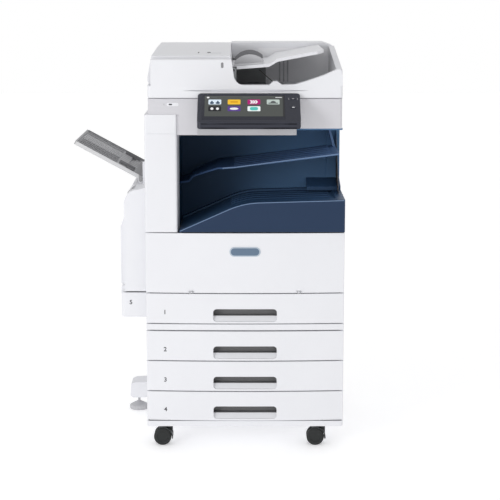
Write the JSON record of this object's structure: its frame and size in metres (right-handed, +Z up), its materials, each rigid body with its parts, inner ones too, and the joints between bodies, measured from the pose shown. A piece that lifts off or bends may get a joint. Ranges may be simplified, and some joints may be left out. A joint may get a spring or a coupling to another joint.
{
  "type": "photocopier",
  "caption": "Floor-standing colour office photocopier with paper drawers, side bypass tray, blue output bay, tilting touch panel and document feeder",
  "frame": {"origin": "centre of the bounding box on the floor", "axes": "+Z up, front towards -Y, +X to the right seen from the front"},
  "size_m": [0.767, 0.725, 1.128],
  "materials": {
    "adf_base": "moulded",
    "adf_feed_roller": "plain",
    "adf_input_tray": "moulded",
    "adf_top_cover": "moulded",
    "base_band": "moulded",
    "bypass_guide_front": "moulded",
    "bypass_guide_rear": "moulded",
    "bypass_tray": "moulded",
    "caster_fork_front_left": "moulded",
    "caster_fork_front_right": "moulded",
    "caster_fork_rear_left": "moulded",
    "caster_fork_rear_right": "moulded",
    "caster_wheel_front_left": "plain",
    "caster_wheel_front_right": "plain",
    "caster_wheel_rear_left": "plain",
    "caster_wheel_rear_right": "plain",
    "cover_screws": "plain",
    "document_guide_front": "moulded",
    "document_guide_rear": "moulded",
    "drawer_1_front": "moulded",
    "drawer_1_tub": "moulded",
    "drawer_2_front": "moulded",
    "drawer_2_tub": "moulded",
    "drawer_3_front": "moulded",
    "drawer_3_tub": "moulded",
    "drawer_4_front": "moulded",
    "drawer_4_tub": "moulded",
    "front_column": "moulded",
    "front_door": "moulded",
    "fuser_unit": "plain",
    "home_button": "moulded",
    "inner_frame": "plain",
    "laser_unit": "moulded",
    "left_cover": "moulded",
    "levelling_foot": "moulded",
    "lower_output_tray": "moulded",
    "lower_side_cover": "moulded",
    "main_board": "moulded",
    "mains_inlet": "moulded",
    "output_bay_liner": "moulded",
    "panel_bracket": "plain",
    "panel_housing": "moulded",
    "platen_cushion": "plain",
    "platen_glass": "plain",
    "plinth": "plain",
    "power_button": "moulded",
    "power_supply": "plain",
    "rear_cover": "plain",
    "right_cover": "moulded",
    "scanner_carriage": "moulded",
    "scanner_housing": "moulded",
    "side_door": "moulded",
    "stabilizer_arm": "moulded",
    "toner_black": "moulded",
    "toner_cyan": "moulded",
    "toner_magenta": "moulded",
    "toner_yellow": "moulded",
    "touch_screen": "plain",
    "transfer_belt_unit": "plain",
    "upper_output_tray": "moulded"
  },
  "bodies": {
    "cabinet": {"base_band": "base_band", "cover_screws": "cover_screws", "front_column": "front_column", "fuser_unit": "fuser_unit", "inner_frame": "inner_frame", "laser_unit": "laser_unit", "left_cover": "left_cover", "lower_output_tray": "lower_output_tray", "lower_side_cover": "lower_side_cover", "main_board": "main_board", "mains_inlet": "mains_inlet", "output_bay_liner": "output_bay_liner", "panel_bracket": "panel_bracket", "platen_glass": "platen_glass", "plinth": "plinth", "power_supply": "power_supply", "rear_cover": "rear_cover", "right_cover": "right_cover", "scanner_housing": "scanner_housing", "stabilizer_arm": "stabilizer_arm", "toner_black": "toner_black", "toner_cyan": "toner_cyan", "toner_magenta": "toner_magenta", "toner_yellow": "toner_yellow", "transfer_belt_unit": "transfer_belt_unit", "upper_output_tray": "upper_output_tray"},
    "drawer_1": {"drawer_1_front": "drawer_1_front", "drawer_1_tub": "drawer_1_tub"},
    "drawer_2": {"drawer_2_front": "drawer_2_front", "drawer_2_tub": "drawer_2_tub"},
    "drawer_3": {"drawer_3_front": "drawer_3_front", "drawer_3_tub": "drawer_3_tub"},
    "drawer_4": {"drawer_4_front": "drawer_4_front", "drawer_4_tub": "drawer_4_tub"},
    "front_door": {"front_door": "front_door"},
    "caster_fork_front_left": {"caster_fork_front_left": "caster_fork_front_left"},
    "caster_wheel_front_left": {"caster_wheel_front_left": "caster_wheel_front_left"},
    "caster_fork_front_right": {"caster_fork_front_right": "caster_fork_front_right"},
    "caster_wheel_front_right": {"caster_wheel_front_right": "caster_wheel_front_right"},
    "caster_fork_rear_left": {"caster_fork_rear_left": "caster_fork_rear_left"},
    "caster_wheel_rear_left": {"caster_wheel_rear_left": "caster_wheel_rear_left"},
    "caster_fork_rear_right": {"caster_fork_rear_right": "caster_fork_rear_right"},
    "caster_wheel_rear_right": {"caster_wheel_rear_right": "caster_wheel_rear_right"},
    "side_door": {"side_door": "side_door"},
    "bypass_tray": {"bypass_tray": "bypass_tray"},
    "bypass_guide_front": {"bypass_guide_front": "bypass_guide_front"},
    "bypass_guide_rear": {"bypass_guide_rear": "bypass_guide_rear"},
    "levelling_foot": {"levelling_foot": "levelling_foot"},
    "adf_lid": {"adf_base": "adf_base", "platen_cushion": "platen_cushion"},
    "adf_top_cover": {"adf_top_cover": "adf_top_cover"},
    "adf_feed_roller": {"adf_feed_roller": "adf_feed_roller"},
    "adf_input_tray": {"adf_input_tray": "adf_input_tray"},
    "document_guide_front": {"document_guide_front": "document_guide_front"},
    "document_guide_rear": {"document_guide_rear": "document_guide_rear"},
    "control_panel": {"panel_housing": "panel_housing", "touch_screen": "touch_screen"},
    "home_button": {"home_button": "home_button"},
    "power_button": {"power_button": "power_button"},
    "scanner_carriage": {"scanner_carriage": "scanner_carriage"}
  },
  "joints": [
    {"name": "drawer_1_slide", "type": "slide", "parent": "cabinet", "child": "drawer_1", "axis": [0, -1, 0], "range_m": [0, 0.4]},
    {"name": "drawer_2_slide", "type": "slide", "parent": "cabinet", "child": "drawer_2", "axis": [0, -1, 0], "range_m": [0, 0.4]},
    {"name": "drawer_3_slide", "type": "slide", "parent": "cabinet", "child": "drawer_3", "axis": [0, -1, 0], "range_m": [0, 0.4]},
    {"name": "drawer_4_slide", "type": "slide", "parent": "cabinet", "child": "drawer_4", "axis": [0, -1, 0], "range_m": [0, 0.4]},
    {"name": "front_door_hinge", "type": "hinge", "parent": "cabinet", "child": "front_door", "pos_m": [0.107, -0.2425, 0.455], "axis": [1, 0, 0], "range_deg": [0, 90]},
    {"name": "caster_swivel_front_left", "type": "hinge", "parent": "cabinet", "child": "caster_fork_front_left", "pos_m": [-0.111, -0.1845, 0.058], "axis": [0, 0, 1], "continuous": true},
    {"name": "caster_wheel_front_left_spin", "type": "hinge", "parent": "caster_fork_front_left", "child": "caster_wheel_front_left", "pos_m": [-0.1285, -0.1845, 0.025], "axis": [0, 1, 0], "continuous": true},
    {"name": "caster_swivel_front_right", "type": "hinge", "parent": "cabinet", "child": "caster_fork_front_right", "pos_m": [0.325, -0.1845, 0.058], "axis": [0, 0, 1], "continuous": true},
    {"name": "caster_wheel_front_right_spin", "type": "hinge", "parent": "caster_fork_front_right", "child": "caster_wheel_front_right", "pos_m": [0.3075, -0.1845, 0.025], "axis": [0, 1, 0], "continuous": true},
    {"name": "caster_swivel_rear_left", "type": "hinge", "parent": "cabinet", "child": "caster_fork_rear_left", "pos_m": [-0.111, 0.2955, 0.058], "axis": [0, 0, 1], "continuous": true},
    {"name": "caster_wheel_rear_left_spin", "type": "hinge", "parent": "caster_fork_rear_left", "child": "caster_wheel_rear_left", "pos_m": [-0.1285, 0.2955, 0.025], "axis": [0, 1, 0], "continuous": true},
    {"name": "caster_swivel_rear_right", "type": "hinge", "parent": "cabinet", "child": "caster_fork_rear_right", "pos_m": [0.325, 0.2955, 0.058], "axis": [0, 0, 1], "continuous": true},
    {"name": "caster_wheel_rear_right_spin", "type": "hinge", "parent": "caster_fork_rear_right", "child": "caster_wheel_rear_right", "pos_m": [0.3075, 0.2955, 0.025], "axis": [0, 1, 0], "continuous": true},
    {"name": "side_door_hinge", "type": "hinge", "parent": "cabinet", "child": "side_door", "pos_m": [-0.2355, 0.0555, 0.458], "axis": [0, -1, 0], "range_deg": [0, 35]},
    {"name": "bypass_tray_hinge", "type": "hinge", "parent": "side_door", "child": "bypass_tray", "pos_m": [-0.193, 0.1105, 0.748], "axis": [0, 1, 0], "range_deg": [0, 58]},
    {"name": "bypass_guide_front_slide", "type": "slide", "parent": "bypass_tray", "child": "bypass_guide_front", "axis": [0, 1, 0], "range_m": [0, 0.09]},
    {"name": "bypass_guide_rear_slide", "type": "slide", "parent": "bypass_tray", "child": "bypass_guide_rear", "axis": [0, 1, 0], "range_m": [-0.09, 0]},
    {"name": "levelling_foot_screw", "type": "slide", "parent": "cabinet", "child": "levelling_foot", "axis": [0, 0, 1], "range_m": [0, 0.014]},
    {"name": "adf_lid_hinge", "type": "hinge", "parent": "cabinet", "child": "adf_lid", "pos_m": [0.107, 0.3435, 1.003], "axis": [-1, 0, 0], "range_deg": [0, 60]},
    {"name": "adf_top_cover_hinge", "type": "hinge", "parent": "adf_lid", "child": "adf_top_cover", "pos_m": [-0.149, 0.0405, 1.041], "axis": [0, -1, 0], "range_deg": [0, 70]},
    {"name": "adf_feed_roller_spin", "type": "hinge", "parent": "adf_lid", "child": "adf_feed_roller", "pos_m": [0.022, 0.0005, 1.05], "axis": [0, 1, 0], "continuous": true},
    {"name": "adf_input_tray_hinge", "type": "hinge", "parent": "adf_lid", "child": "adf_input_tray", "pos_m": [0.075, 0.0015, 1.067], "axis": [0, -1, 0], "range_deg": [0, 25]},
    {"name": "document_guide_front_slide", "type": "slide", "parent": "adf_input_tray", "child": "document_guide_front", "axis": [0, 1, 0], "range_m": [0, 0.1]},
    {"name": "document_guide_rear_slide", "type": "slide", "parent": "adf_input_tray", "child": "document_guide_rear", "axis": [0, 1, 0], "range_m": [-0.1, 0]},
    {"name": "panel_tilt", "type": "hinge", "parent": "cabinet", "child": "control_panel", "pos_m": [0.117, -0.2695, 0.963], "axis": [1, 0, 0], "range_deg": [0, 25]},
    {"name": "home_button_press", "type": "slide", "parent": "control_panel", "child": "home_button", "axis": [0, 0.5373, -0.8434], "range_m": [0, 0.001], "stiffness_N_per_m": 300},
    {"name": "power_button_press", "type": "slide", "parent": "control_panel", "child": "power_button", "axis": [0, 0.5373, -0.8434], "range_m": [0, 0.001], "stiffness_N_per_m": 300},
    {"name": "scanner_carriage_slide", "type": "slide", "parent": "cabinet", "child": "scanner_carriage", "axis": [1, 0, 0], "range_m": [0, 0.43]}
  ],
  "couplings": [
    {"joint": "bypass_guide_rear_slide", "follows": "bypass_guide_front_slide", "ratio": -1},
    {"joint": "document_guide_rear_slide", "follows": "document_guide_front_slide", "ratio": -1}
  ]
}
